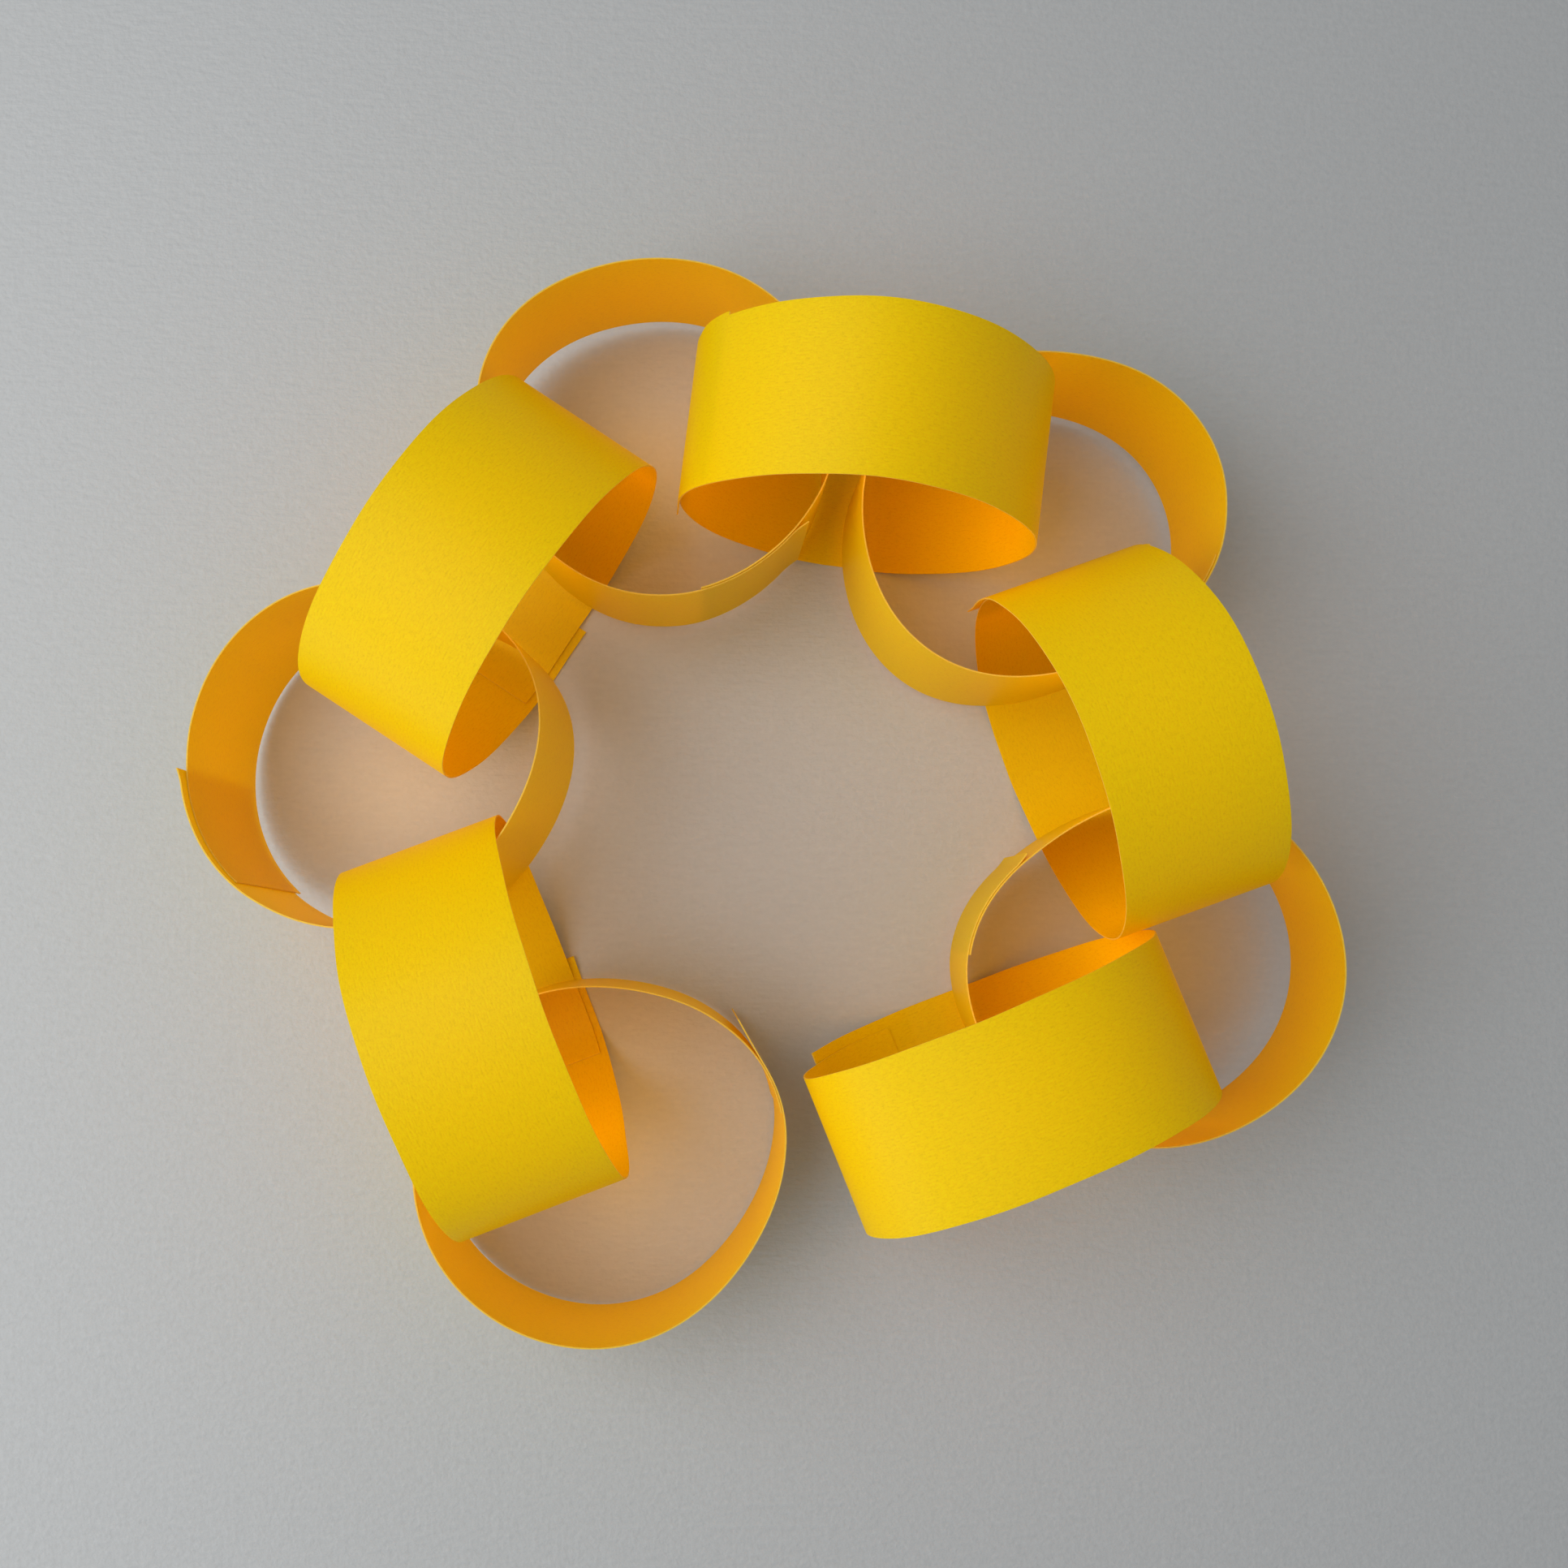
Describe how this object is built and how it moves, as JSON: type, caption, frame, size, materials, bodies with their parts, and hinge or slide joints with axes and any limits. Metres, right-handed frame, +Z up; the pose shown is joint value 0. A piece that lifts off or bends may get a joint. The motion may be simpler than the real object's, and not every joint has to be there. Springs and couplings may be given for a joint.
{
  "type": "paper chain garland",
  "caption": "Paper chain garland of lapped and glued yellow paper loops, lying in an open circle on a table, links alternately on edge and on their face",
  "frame": {"origin": "under the middle of the garland, on the surface it lies on", "axes": "+Z up from the table, +X to the right and +Y away from the viewer as the garland is seen from above"},
  "size_m": [0.1964, 0.1864, 0.0616],
  "materials": {
    "yellow_paper": "matt coloured paper"
  },
  "bodies": {
    "root": {"end_ring": "yellow_paper", "arch_lower_left": "yellow_paper", "ring_left": "yellow_paper", "arch_upper_left": "yellow_paper", "ring_top": "yellow_paper", "arch_top": "yellow_paper", "ring_upper_right": "yellow_paper", "arch_right": "yellow_paper", "ring_right": "yellow_paper", "end_arch": "yellow_paper"}
  },
  "joints": []
}
